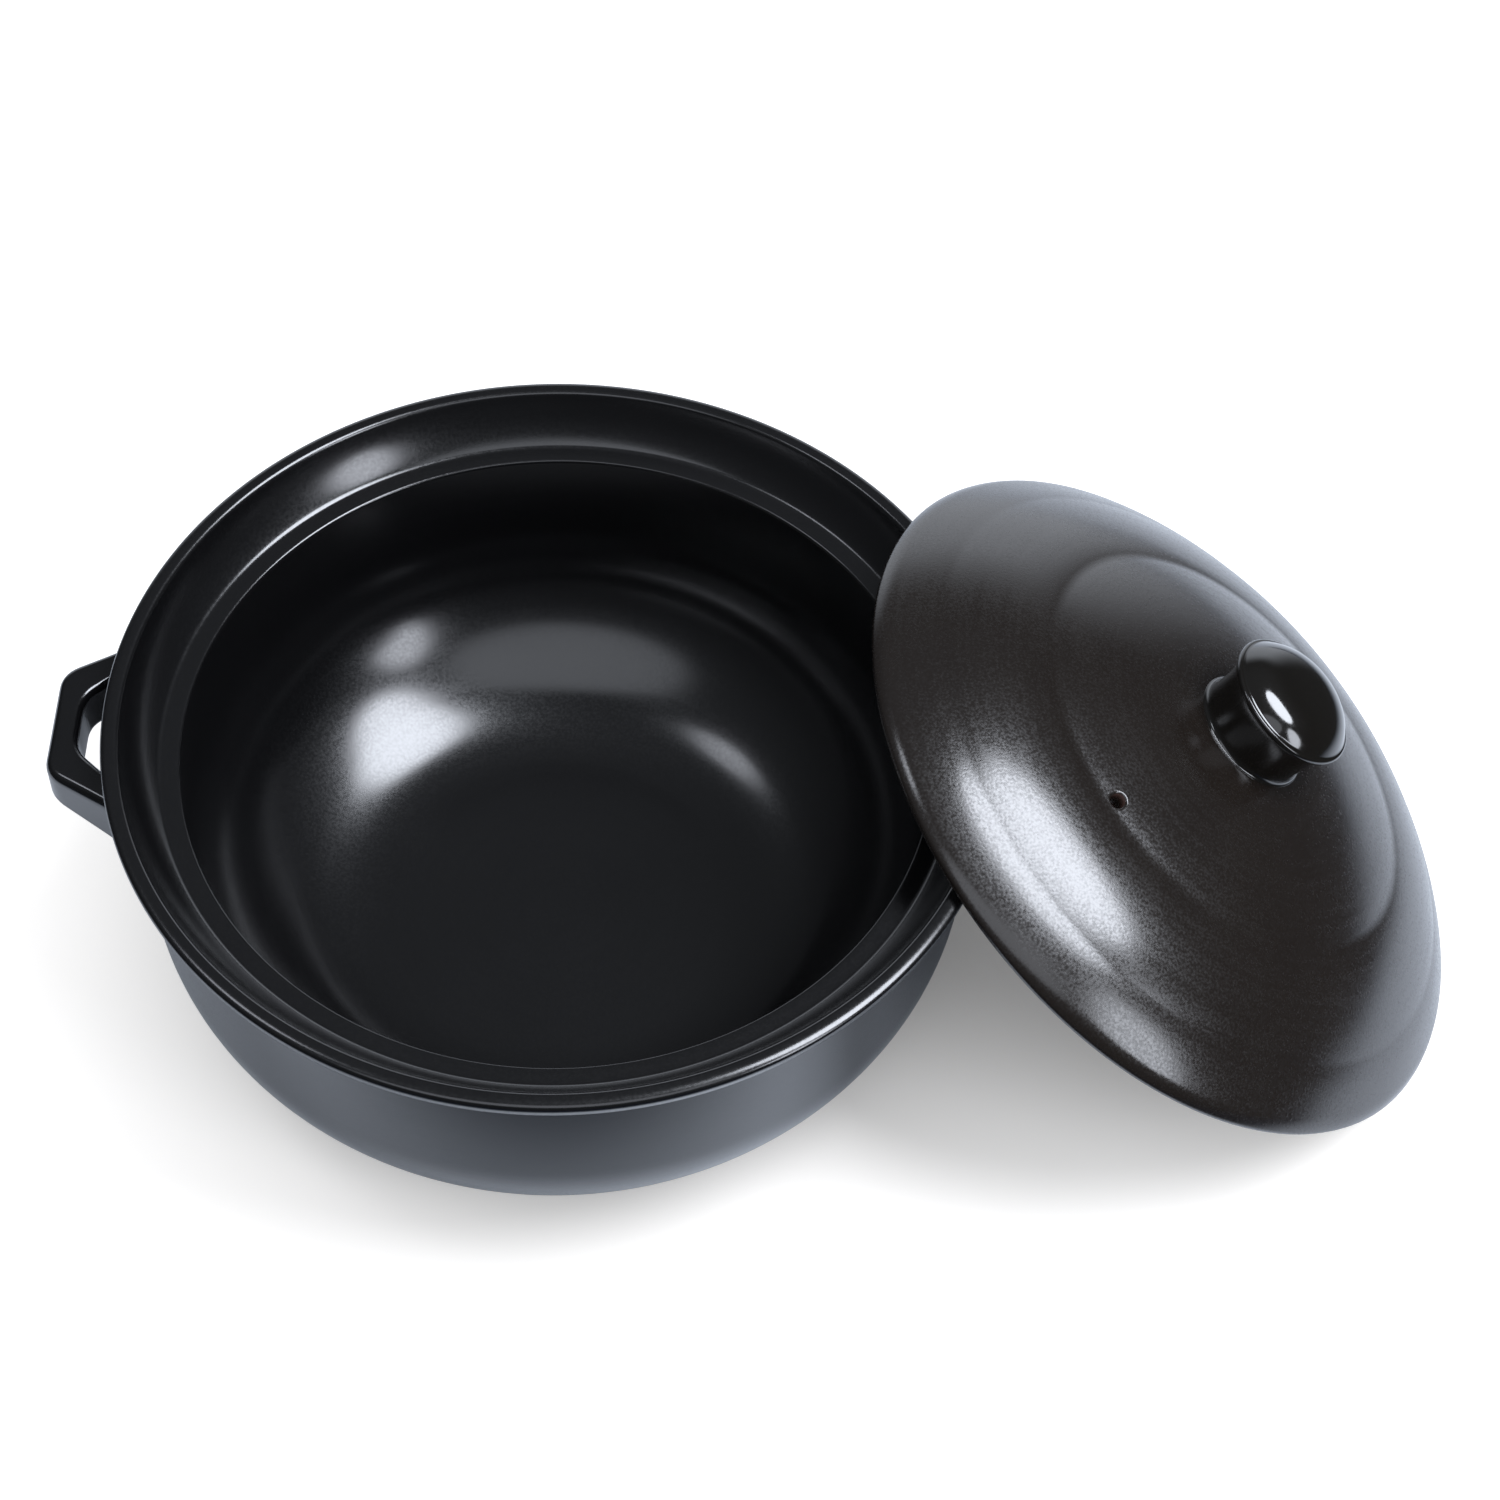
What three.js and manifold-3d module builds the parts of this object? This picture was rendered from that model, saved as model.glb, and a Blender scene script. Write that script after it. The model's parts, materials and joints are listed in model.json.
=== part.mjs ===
// A lidded casserole of black-glazed clay: a wide round pot with two loop handles, and a domed lid with
// a knob. The pot stands on z = 0 with its axis on Z and its handles along X. Its lid is off: the lid's
// lower edge stands on the table and the lid leans over the pot's rim. Sizes are in millimetres, angles
// in degrees.
import * as THREE from 'three';
import { mergeVertices } from 'three/addons/utils/BufferGeometryUtils.js';
import Module from 'manifold-3d';

// Pot
const POT_HEIGHT = 112;
const RIM_RADIUS = 133; // outer edge of the rim flange
const RIM_EDGE = 5; // height of the flange's outer edge
const RIM_OVERHANG = 7.5; // flange past the wall
const RIM_COVE = 4.5; // hollow curve from the wall up to the flange
const RIM_ROUND = 2; // rounding of the flange's edges
const LIP_WIDTH = 5; // level top of the rim
const FLARE_RUN = 10.2; // slope from the lip in to the lid's seat
const FLARE_HOLLOW = 1.2; // how far that slope dips below a straight line
const SEAT_DEPTH = 14.5; // seat below the rim's top
const SEAT_WIDTH = 6.3;
const SEAT_ROUND = 2; // rounding of the seat's inner edge
const WALL = 11;
const FLOOR = 10;
const BASE_RADIUS = 74; // flat ring that the pot stands on
const BASE_ANGLE = 25; // slope of the belly where it leaves the base
const BELLY_HEIGHT = 60; // where the belly has become the upright wall
const BELLY_BASE_PULL = 22; // length of the belly curve's tangent at the base
const BELLY_WALL_PULL = 32; // length of its tangent at the wall

// Handles
const HANDLE_REACH = 24; // past the wall
const HANDLE_LENGTH = 37.4; // outer edge of the bar, between its corners
const HANDLE_SPREAD = 30; // angle between each leg's outer side and X
const HANDLE_CORNER = 5.5; // how far each outer corner's curve runs along both its sides
const HANDLE_BAR = 8.2; // width of the bar, seen from above
const GAP_LENGTH = 18; // finger gap along the bar, between its corners
const GAP_SPREAD = 42; // angle between each leg's inner side and X
const GAP_CORNER = 5;
const HANDLE_TIP = 14; // height of the bar at its outer edge
const HANDLE_ROOT = 20.5; // height of the legs at the wall
const HANDLE_ROUND = 2; // rounding of the handle's edges
const HANDLE_DROP = 1.5; // handle's top below the rim's cove

// Lid
const LID_CLEARANCE = 1.6; // between the lid's edge and the flare
const LID_EDGE = 5.6; // height of the lid's round edge
const LID_FOOT = 4.4; // width of the ring under the lid that rests on the seat
const LID_EDGE_TURN = 45; // how far round the edge's curve runs above its widest place
const LID_THICKNESS = 6.5; // at the crown
const OUTER_TERRACE = 15.4; // widths, rises and bends of the dome's three soft steps, from the edge in
const OUTER_RISE = 10.2;
const OUTER_BEND = 0.6; // share of a step's rise that its outer tangent takes, halfway across the step
const MIDDLE_TERRACE = 31;
const MIDDLE_RISE = 13.8;
const MIDDLE_BEND = 0.75;
const INNER_RISE = 9.8;
const INNER_BEND = 0.88;
const HOLLOW_CORNER = 65; // radius where the underside's two tangents meet
const VENT_RADIUS = 2.5;
const VENT_INSET = 3.9; // steam vent inside the inner ring
const VENT_TURN = 217; // vent's bearing about the lid's axis, from the lid's lowest point

// Knob
const KNOB_FOOT_RADIUS = 19.5;
const KNOB_FOOT_EDGE = 0.6; // height of the foot's thin edge
const KNOB_FOOT = 3.2; // height of the curve from the foot into the neck
const KNOB_NECK_RADIUS = 17.2;
const KNOB_FLARE = 5; // how far below the lip the neck's curve turns outward
const KNOB_HEAD_RADIUS = 21.8;
const KNOB_LIP = 2.4; // height of the head's round lip
const KNOB_HEIGHT = 25.1;
const KNOB_CROWN = 6.9; // rise of the domed top above the lip
const KNOB_DOME_ANGLE = 50; // slope of the dome where it leaves the lip
const KNOB_DOME_PULL = 7; // how far the dome's curve follows that slope
const KNOB_TOP_PULL = 12; // how far out from the middle the top stays level

// How the lid leans, and the joints between the pieces
const TOUCH_ANGLE = 37.7; // round the lid's edge, from its highest point to where it meets the rim
const LEAN_TURN = 3.2; // bearing of the lean from the right-hand handle
const CLEARANCE = 0.35; // left between pieces that touch

// Fineness
const ROUND_STEPS = 60; // facets round the pot and the lid
const KNOB_STEPS = 36;
const KNOB_CURVE_STEPS = 5; // points along each of the knob's curves
const VENT_STEPS = 16;
const CURVE_STEPS = 3; // points along a short curve
const BELLY_STEPS = 9; // points along the belly
const HOLLOW_STEPS = 9; // points along the lid's underside
const TOUCH_STEPS = 240; // places round the lid's edge that are tried against the rim

const wallRadius = RIM_RADIUS - RIM_OVERHANG;
const lipRadius = RIM_RADIUS - LIP_WIDTH;
const seatRadius = lipRadius - FLARE_RUN;
const seatHeight = POT_HEIGHT - SEAT_DEPTH;
const mouthRadius = seatRadius - SEAT_WIDTH;
const flangeBottom = POT_HEIGHT - RIM_EDGE;
const coveBottom = flangeBottom - RIM_COVE;
const lidRadius = seatRadius - LID_CLEARANCE;
const outerRing = lidRadius - OUTER_TERRACE;
const innerRing = outerRing - MIDDLE_TERRACE;
const outerRingHeight = LID_EDGE + OUTER_RISE;
const innerRingHeight = outerRingHeight + MIDDLE_RISE;
const crownHeight = innerRingHeight + INNER_RISE;

const wasm = await Module();
wasm.setup();

const radians = THREE.MathUtils.degToRad;
const at = (r, z) => new THREE.Vector2(r, z);

// A closed body from a geometry: shared corners merged, triangles without area left out.
function solidOf(geometry) {
  const bare = geometry.clone();
  bare.deleteAttribute('normal');
  bare.deleteAttribute('uv');
  const merged = mergeVertices(bare);
  const corners = merged.index.array;
  const triVerts = [];
  for (let i = 0; i < corners.length; i += 3) {
    const [a, b, c] = corners.slice(i, i + 3);
    if (a !== b && b !== c && c !== a) triVerts.push(a, b, c);
  }
  const mesh = new wasm.Mesh({
    numProp: 3,
    vertProperties: merged.attributes.position.array,
    triVerts: new Uint32Array(triVerts),
  });
  return new wasm.Manifold(mesh);
}

function geometryOf(solid) {
  const { vertProperties, triVerts } = solid.getMesh();
  const geometry = new THREE.BufferGeometry();
  geometry.setAttribute('position', new THREE.BufferAttribute(vertProperties, 3));
  geometry.setIndex(new THREE.BufferAttribute(triVerts, 1));
  geometry.computeVertexNormals();
  return geometry;
}

// A profile of radius and height turned round Z. It runs from the axis out, up the outside and back.
function turned(profile, steps) {
  return new THREE.LatheGeometry(profile, steps).rotateX(Math.PI / 2);
}

// Outside of the pot from its base to the lip's inner edge.
function potOutside() {
  const slope = radians(BASE_ANGLE);
  const belly = new THREE.CubicBezierCurve(
    at(BASE_RADIUS, 0),
    at(BASE_RADIUS + BELLY_BASE_PULL * Math.cos(slope), BELLY_BASE_PULL * Math.sin(slope)),
    at(wallRadius, BELLY_HEIGHT - BELLY_WALL_PULL),
    at(wallRadius, BELLY_HEIGHT),
  );
  const rim = new THREE.Path();
  rim.moveTo(wallRadius, coveBottom);
  rim.quadraticCurveTo(wallRadius, flangeBottom, RIM_RADIUS - RIM_ROUND, flangeBottom);
  rim.quadraticCurveTo(RIM_RADIUS, flangeBottom, RIM_RADIUS, flangeBottom + RIM_ROUND);
  rim.lineTo(RIM_RADIUS, POT_HEIGHT - RIM_ROUND);
  rim.quadraticCurveTo(RIM_RADIUS, POT_HEIGHT, RIM_RADIUS - RIM_ROUND, POT_HEIGHT);
  rim.lineTo(lipRadius, POT_HEIGHT);
  return { belly, rim: rim.getPoints(CURVE_STEPS) };
}

// Inside of the pot from the lip down the flare, over the lid's seat, down the wall and in to the floor's
// edge. The lower wall follows the belly at the wall's thickness.
function potInside(belly) {
  const path = new THREE.Path();
  path.moveTo(lipRadius, POT_HEIGHT);
  const flare = at(FLARE_RUN, SEAT_DEPTH).normalize();
  path.quadraticCurveTo(
    (lipRadius + seatRadius) / 2 + FLARE_HOLLOW * flare.y,
    (POT_HEIGHT + seatHeight) / 2 - FLARE_HOLLOW * flare.x,
    seatRadius,
    seatHeight,
  );
  path.lineTo(mouthRadius + SEAT_ROUND, seatHeight);
  path.quadraticCurveTo(mouthRadius, seatHeight, mouthRadius, seatHeight - SEAT_ROUND);
  const upper = path.getPoints(CURVE_STEPS).slice(1);
  const lower = [];
  for (let i = BELLY_STEPS; i >= 0; i -= 1) {
    const point = belly.getPoint(i / BELLY_STEPS);
    const along = belly.getTangent(i / BELLY_STEPS);
    const inner = at(point.x - WALL * along.y, point.y + WALL * along.x);
    if (inner.y <= FLOOR) {
      const above = lower.at(-1);
      lower.push(above.clone().lerp(inner, (above.y - FLOOR) / (above.y - inner.y)));
      break;
    }
    lower.push(inner);
  }
  return [...upper, ...lower];
}

function potBody() {
  const { belly, rim } = potOutside();
  const profile = [at(0, 0), ...belly.getPoints(BELLY_STEPS), ...rim, ...potInside(belly), at(0, FLOOR)];
  return turned(profile, ROUND_STEPS);
}

// The pot's outside as a filled body, larger by the clearance: what trims the handles to the wall.
function potCutter() {
  const { belly, rim } = potOutside();
  const grown = [...belly.getPoints(BELLY_STEPS), ...rim].map((p) => at(p.x + CLEARANCE, p.y));
  return solidOf(turned([at(0, 0), ...grown, at(0, POT_HEIGHT)], ROUND_STEPS));
}

// Adds to a path the outline of a bar and two spread legs that run in from it to the plane x = end.
function barAndLegs(path, bar, length, spread, corner, end) {
  const half = length / 2;
  const along = at(-Math.cos(radians(spread)), Math.sin(radians(spread)));
  const wide = half + (bar - end) * Math.tan(radians(spread));
  path.moveTo(end, -wide);
  path.lineTo(bar + along.x * corner, -half - along.y * corner);
  path.quadraticCurveTo(bar, -half, bar, corner - half);
  path.lineTo(bar, half - corner);
  path.quadraticCurveTo(bar, half, bar + along.x * corner, half + along.y * corner);
  path.lineTo(end, wide);
  path.closePath();
  return path;
}

// The right-hand handle: a bar and two legs round a gap for the fingers, trimmed to the pot's wall. Its
// top is level, and its underside rises from the wall to the bar.
function loopHandle() {
  const tip = wallRadius + HANDLE_REACH;
  const corner = at(tip, HANDLE_LENGTH / 2);
  const along = at(-Math.cos(radians(HANDLE_SPREAD)), Math.sin(radians(HANDLE_SPREAD)));
  const closing = -corner.dot(along);
  const toWall = closing - Math.sqrt(closing ** 2 - corner.lengthSq() + wallRadius ** 2);
  const end = tip + along.x * (toWall + WALL / 2);
  const plan = barAndLegs(new THREE.Shape(), tip, HANDLE_LENGTH, HANDLE_SPREAD, HANDLE_CORNER, end);
  const barInside = tip - HANDLE_BAR;
  const gapEnd = end + WALL / 4;
  const gap = barAndLegs(new THREE.Path(), barInside, GAP_LENGTH, GAP_SPREAD, GAP_CORNER, gapEnd);
  plan.holes.push(gap);
  const bar = new THREE.ExtrudeGeometry(plan, {
    depth: HANDLE_TIP - 2 * HANDLE_ROUND,
    bevelThickness: HANDLE_ROUND,
    bevelSize: HANDLE_ROUND,
    bevelOffset: -HANDLE_ROUND,
    bevelSegments: CURVE_STEPS,
    curveSegments: CURVE_STEPS,
  });
  bar.translate(0, 0, -HANDLE_TIP + HANDLE_ROUND);
  const taper = (HANDLE_ROOT / HANDLE_TIP - 1) / HANDLE_REACH;
  const points = bar.attributes.position;
  for (let i = 0; i < points.count; i += 1) {
    points.setZ(i, points.getZ(i) * (1 + taper * (tip - points.getX(i))));
  }
  bar.translate(0, 0, coveBottom - HANDLE_DROP);
  return geometryOf(solidOf(bar).subtract(potCutter()));
}

// The lid's profile in its own frame, with z = 0 on the pot's seat: underside, round edge, and the dome's
// three steps, each of them a convex curve that starts steeper than the last one ended.
function lidProfile() {
  const edge = LID_EDGE / 2;
  const hollowHeight = crownHeight - LID_THICKNESS;
  const under = new THREE.QuadraticBezierCurve(
    at(0, hollowHeight),
    at(HOLLOW_CORNER, hollowHeight),
    at(lidRadius - LID_FOOT, 0),
  );
  const path = new THREE.Path();
  path.moveTo(lidRadius - edge, 0);
  path.absarc(lidRadius - edge, edge, edge, -Math.PI / 2, radians(LID_EDGE_TURN), false);
  const bend = (from, to, share) => [(from.x + to.x) / 2, from.y + (to.y - from.y) * share];
  const foot = path.currentPoint.clone();
  const outer = at(outerRing, outerRingHeight);
  const inner = at(innerRing, innerRingHeight);
  const crown = at(KNOB_FOOT_RADIUS, crownHeight);
  path.quadraticCurveTo(...bend(foot, outer, OUTER_BEND), outer.x, outer.y);
  path.quadraticCurveTo(...bend(outer, inner, MIDDLE_BEND), inner.x, inner.y);
  path.quadraticCurveTo(...bend(inner, crown, INNER_BEND), crown.x, crown.y);
  return [...under.getPoints(HOLLOW_STEPS), ...path.getPoints(CURVE_STEPS), at(0, crownHeight)];
}

function lidShell() {
  const dome = solidOf(turned(lidProfile(), ROUND_STEPS));
  const reach = 2 * crownHeight;
  const ring = innerRing - VENT_INSET;
  const turn = radians(VENT_TURN);
  const vent = new THREE.CylinderGeometry(VENT_RADIUS, VENT_RADIUS, reach, VENT_STEPS);
  vent.rotateX(Math.PI / 2);
  vent.translate(ring * Math.cos(turn), ring * Math.sin(turn), 0);
  return geometryOf(dome.subtract(solidOf(vent)));
}

// A knob turned in one piece: a foot that spreads onto the lid, a wide neck that flares into a thin round
// lip, and a dome on top.
function lidKnob() {
  const headTop = KNOB_HEIGHT - KNOB_CROWN;
  const headBottom = headTop - KNOB_LIP;
  const headMiddle = headTop - KNOB_LIP / 2;
  const lipRadius = KNOB_HEAD_RADIUS - KNOB_LIP / 2;
  const slope = radians(KNOB_DOME_ANGLE);
  const shoulder = at(-Math.cos(slope), Math.sin(slope)).multiplyScalar(KNOB_DOME_PULL);
  shoulder.add(at(lipRadius, headTop));
  const path = new THREE.Path();
  path.moveTo(0, 0);
  path.lineTo(KNOB_FOOT_RADIUS, 0);
  path.lineTo(KNOB_FOOT_RADIUS, KNOB_FOOT_EDGE);
  path.quadraticCurveTo(KNOB_NECK_RADIUS, KNOB_FOOT_EDGE, KNOB_NECK_RADIUS, KNOB_FOOT);
  path.quadraticCurveTo(KNOB_NECK_RADIUS, headBottom - KNOB_FLARE, lipRadius, headBottom);
  path.quadraticCurveTo(KNOB_HEAD_RADIUS, headBottom, KNOB_HEAD_RADIUS, headMiddle);
  path.quadraticCurveTo(KNOB_HEAD_RADIUS, headTop, lipRadius, headTop);
  path.bezierCurveTo(shoulder.x, shoulder.y, KNOB_TOP_PULL, KNOB_HEIGHT, 0, KNOB_HEIGHT);
  return turned(path.getPoints(KNOB_CURVE_STEPS), KNOB_STEPS);
}

// Least distance from a point to a line of points, all in radius and height.
function distanceToLine(point, line) {
  let least = Infinity;
  for (let i = 1; i < line.length; i += 1) {
    const span = line[i].clone().sub(line[i - 1]);
    const share = point.clone().sub(line[i - 1]).dot(span) / span.lengthSq();
    const nearest = line[i - 1].clone().addScaledVector(span, THREE.MathUtils.clamp(share, 0, 1));
    least = Math.min(least, nearest.distanceTo(point));
  }
  return least;
}

// Where the lid's own frame stands. The tilt brings two places of its edge to the rim's height. The lid
// then slides in along the table, from clear of the pot, until it meets the rim.
function leaningLid() {
  const { rim } = potOutside();
  const profile = lidProfile();
  const edgeRing = lidRadius - LID_EDGE / 2;
  const tilt = Math.asin(POT_HEIGHT / (edgeRing * (1 + Math.cos(radians(TOUCH_ANGLE)))));
  const sin = Math.sin(tilt);
  const cos = Math.cos(tilt);
  const height = Math.max(...profile.map((p) => p.x * sin - p.y * cos));
  const nearEdge = profile.filter((p) => p.x > outerRing);
  const gapAt = (distance) => {
    let least = Infinity;
    for (let i = 0; i < TOUCH_STEPS; i += 1) {
      const turn = (2 * Math.PI * i) / TOUCH_STEPS;
      for (const p of nearEdge) {
        const along = p.x * Math.cos(turn);
        const x = distance + along * cos + p.y * sin;
        const y = p.x * Math.sin(turn);
        const z = height - along * sin + p.y * cos;
        if (z > coveBottom) least = Math.min(least, distanceToLine(at(Math.hypot(x, y), z), rim));
      }
    }
    return least;
  };
  const step = CLEARANCE / 4;
  let distance = RIM_RADIUS + 2 * lidRadius;
  let gap = gapAt(distance);
  while (gap > CLEARANCE + step) {
    distance -= Math.max(step, (gap - CLEARANCE) / 2);
    gap = gapAt(distance);
  }
  return { tilt, distance, height };
}

function glaze(color, roughness) {
  return new THREE.MeshStandardMaterial({ color, roughness, metalness: 0 });
}

function piece(name, geometry, material) {
  const mesh = new THREE.Mesh(geometry, material);
  mesh.name = name;
  return mesh;
}

const casserole = new THREE.Group();
const handle = loopHandle();
const handleLeft = piece('handle_left', handle.clone(), glaze('#16171a', 0.2));
handleLeft.rotation.z = Math.PI;
casserole.add(
  piece('pot_body', potBody(), glaze('#1b1c1f', 0.35)),
  piece('handle_right', handle, glaze('#16171a', 0.2)),
  handleLeft,
);

const { tilt, distance, height } = leaningLid();
const bearing = new THREE.Group();
bearing.rotation.z = radians(LEAN_TURN);
const lid = new THREE.Group();
lid.position.set(distance, 0, height);
lid.rotation.y = tilt;
const knob = piece('lid_knob', lidKnob(), glaze('#141416', 0.15));
knob.position.z = crownHeight + CLEARANCE;
lid.add(piece('lid_shell', lidShell(), glaze('#2a2724', 0.45)), knob);
bearing.add(lid);
casserole.add(bearing);

export default casserole;
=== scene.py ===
import json
from math import comb

import bpy
import numpy as np
from mathutils import Matrix


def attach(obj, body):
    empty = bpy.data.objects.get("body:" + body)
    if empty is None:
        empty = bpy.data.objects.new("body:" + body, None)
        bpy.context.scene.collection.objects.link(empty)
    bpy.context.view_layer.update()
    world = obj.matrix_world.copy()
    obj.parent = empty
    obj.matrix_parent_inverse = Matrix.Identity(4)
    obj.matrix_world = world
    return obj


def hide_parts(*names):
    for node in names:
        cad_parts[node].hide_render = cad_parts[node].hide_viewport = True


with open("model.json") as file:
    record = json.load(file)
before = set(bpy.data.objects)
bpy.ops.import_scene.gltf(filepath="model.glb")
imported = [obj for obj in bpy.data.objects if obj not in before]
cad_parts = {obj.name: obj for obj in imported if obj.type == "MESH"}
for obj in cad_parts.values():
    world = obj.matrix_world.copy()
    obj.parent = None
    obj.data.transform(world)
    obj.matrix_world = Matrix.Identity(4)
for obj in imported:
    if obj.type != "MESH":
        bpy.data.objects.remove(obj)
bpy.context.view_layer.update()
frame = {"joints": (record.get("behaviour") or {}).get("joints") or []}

# Pot body: a wide round casserole of dark stoneware, jiggered in a mould, with a turned rim and a seat for
# the lid. It was dipped in a satin black glaze inside and out and stands on a base ring wiped bare before
# firing. Lengths here and below are in millimetres and angles in degrees, unless a name says otherwise.
POT_HEIGHT = 112.0
RIM_RADIUS = 133.0
RIM_EDGE = 5.6  # height of the rim's outer side
RIM_OVERHANG = 7.5  # rim past the wall
RIM_UNDERCUT = 1.0  # how far the outer side leans in towards its lower edge
RIM_ROUND = (3.0, 2.0)  # run and drop of the curve round the rim's top
RIM_COVE = 3.9  # height and run of the hollow curve from the wall out to the rim
RIM_COVE_RUN = 3.5
LIP_WIDTH = 5.0
FLARE_RUN = 10.2  # slope from the lip in to the lid's seat
FLARE_HOLLOW = 2.0  # how far the slope's curve is drawn in at its middle
SEAT_DEPTH = 14.5  # seat below the rim's top
SEAT_WIDTH = 6.3
WALL = 11.0
FLOOR = 10.0
BASE_RADIUS = 74.0
BASE_ANGLE = 25.0  # slope of the belly where it leaves the base
BELLY_HEIGHT = 60.0  # where the belly has become the upright wall
BELLY_BASE_PULL = 22.0  # lengths of the belly curve's tangents at the base and at the wall
BELLY_WALL_PULL = 32.0
BARE_HEIGHT = 0.5  # the base is bare clay up to here
POT_SPACING = 5.0  # of the rows along the profile
POT_COLUMNS = 320
WALL_RADIUS = RIM_RADIUS - RIM_OVERHANG
LIP_RADIUS = RIM_RADIUS - LIP_WIDTH
SEAT_RADIUS = LIP_RADIUS - FLARE_RUN
SEAT_HEIGHT = POT_HEIGHT - SEAT_DEPTH
MOUTH_RADIUS = SEAT_RADIUS - SEAT_WIDTH
FLANGE_BOTTOM = POT_HEIGHT - RIM_EDGE
COVE_BOTTOM = FLANGE_BOTTOM - RIM_COVE
# The glaze is a thin glass melted on in the kiln, so dark that nearly all the eye sees is its gloss:
# soft-edged windows on the walls, and long pale lines round the rim. Iron makes the glass dense, hence an
# IOR above a clear glaze's 1.5. Its grain is 0.1 to 0.3 mm across in life and is drawn 0.75 to 0.9 mm here,
# coarse enough to show. Where it was wiped off, the fired clay is red-brown, dry and matt.
GLAZE_IOR = 1.8
CLAY = "#5a3a30"
CLAY_ROUGHNESS = 0.8
SPECKLE = 2.0  # weight of the grain in the gloss, against one each for the drift and the turning lines
GLOSS_SPAN = (1.5, 2.5)  # the sum of the three, from the glossiest spots to the dullest
LINE_STRETCH = 18.0  # cells of the turning lines in a metre round the wheel, so that each line runs far round
POT_GLAZE = {"colours": ("#0b0b0c", "#0f0f10"), "roughness": (0.17, 0.22), "drift": 40.0,
             "grain": (0.9, 0.003), "lines": (3.0, 0.004), "waves": (45.0, 0.05)}


def bezier(corners, steps):
    """Points of a Bezier curve: its corners, each weighted by its binomial term in t, with t from 0 to 1."""
    t = np.linspace(0, 1, steps)[:, None]
    n = len(corners) - 1
    return sum(comb(n, k) * t**k * (1 - t) ** (n - k) * np.array(p, float) for k, p in enumerate(corners))


def rounded(line, fillets, spacing, steps=8):
    """The line with the corners named in fillets {row: length} softened, and filled up to the given spacing.

    Within a fillet's length of its corner, measured along the line, the line gives way to the quadratic curve
    from where the fillet starts to where it ends, with the corner as its middle point."""
    line = np.array(line, float)
    along = np.concatenate([[0], np.cumsum(np.hypot(*np.diff(line, axis=0).T))])
    even = np.arange(0, along[-1], spacing)
    place = np.union1d(along, even[np.abs(even[:, None] - along).min(1) > spacing / 4])
    ends = [(along[row], length) for row, length in fillets.items()]
    for middle, length in ends:
        place = place[np.abs(place - middle) > length * 1.25]
    points = np.stack([np.interp(place, along, line[:, k]) for k in (0, 1)], 1)
    for middle, length in ends:
        tip = np.array([middle - length, middle, middle + length])
        corner = np.stack([np.interp(tip, along, line[:, k]) for k in (0, 1)], 1)
        place = np.concatenate([place, np.linspace(tip[0], tip[2], steps)])
        points = np.concatenate([points, bezier(corner, steps)])
    return points[np.argsort(place, kind="stable")]


def turned(profile, steps):
    """A profile of (radius, height) turned round Z: row i and angle a give (r cos a, r sin a, z)."""
    a = np.arange(steps) * 2 * np.pi / steps
    r, z = profile[:, :1], profile[:, 1:]
    return np.stack([r * np.cos(a), r * np.sin(a), z + 0 * a], -1)


def closed_shell(grid):
    """Vertices and faces of a grid closed round its columns, its first and last rows drawn to a pole."""
    rows, cols = grid.shape[:2]
    vertices = np.concatenate([grid[0].mean(0)[None], grid[1:-1].reshape(-1, 3), grid[-1].mean(0)[None]])
    ring = 1 + np.arange((rows - 2) * cols).reshape(rows - 2, cols)
    turn = np.roll(ring, -1, axis=1)
    quads = np.stack([ring[:-1], turn[:-1], turn[1:], ring[1:]], -1).reshape(-1, 4)
    first = np.stack([np.zeros(cols, int), turn[0], ring[0]], -1)
    last = np.stack([np.full(cols, len(vertices) - 1), ring[-1], turn[-1]], -1)
    return vertices, [quads, first, last]


def wheel_coordinates(profile, points):
    """Where each point lies for a potter: its distance along the profile, and its bearing as a point of a
    circle 100 mm wide, in metres. Each point takes the distance of the profile's place nearest to it."""
    along = np.concatenate([[0], np.cumsum(np.hypot(*np.diff(profile, axis=0).T))])
    radius = np.hypot(points[:, 0], points[:, 1])
    apart = np.abs(radius[:, None] - profile[None, :, 0]) + np.abs(points[:, 2:] - profile[None, :, 1])
    bearing = np.arctan2(points[:, 1], points[:, 0])
    return np.stack([along[apart.argmin(1)], 50 * np.cos(bearing), 50 * np.sin(bearing)], 1) / 1000


def piece(name, vertices, faces, material, attributes):
    """A smooth mesh object at the origin from points in millimetres, with vector or number attributes."""
    mesh = bpy.data.meshes.new(name)
    mesh.from_pydata((vertices / 1000).tolist(), [], [f for part in faces for f in part.tolist()])
    mesh.shade_smooth()
    for key, values in attributes.items():
        kind, field = ("FLOAT_VECTOR", "vector") if values.ndim == 2 else ("FLOAT", "value")
        mesh.attributes.new(key, kind, "POINT").data.foreach_set(field, values.astype(np.float32).ravel())
    mesh.materials.append(material)
    mesh.validate()
    shape = bpy.data.objects.new(name, mesh)
    bpy.context.scene.collection.objects.link(shape)
    return shape


def linear(code):
    """An sRGB hex colour as linear RGBA."""
    c = np.array([int(code[k:k + 2], 16) for k in (1, 3, 5)]) / 255
    return (*np.where(c <= 0.04045, c / 12.92, ((c + 0.055) / 1.055) ** 2.4).tolist(), 1.0)


def add(tree, kind, settings, links):
    """Adds a node: settings are its properties, links its inputs' values or the outputs that feed them."""
    node = tree.nodes.new(kind)
    for key, value in settings.items():
        setattr(node, key, value)
    for key, value in links.items():
        if isinstance(value, bpy.types.NodeSocket):
            tree.links.new(value, node.inputs[key])
        else:
            node.inputs[key].default_value = value
    return node


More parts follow.
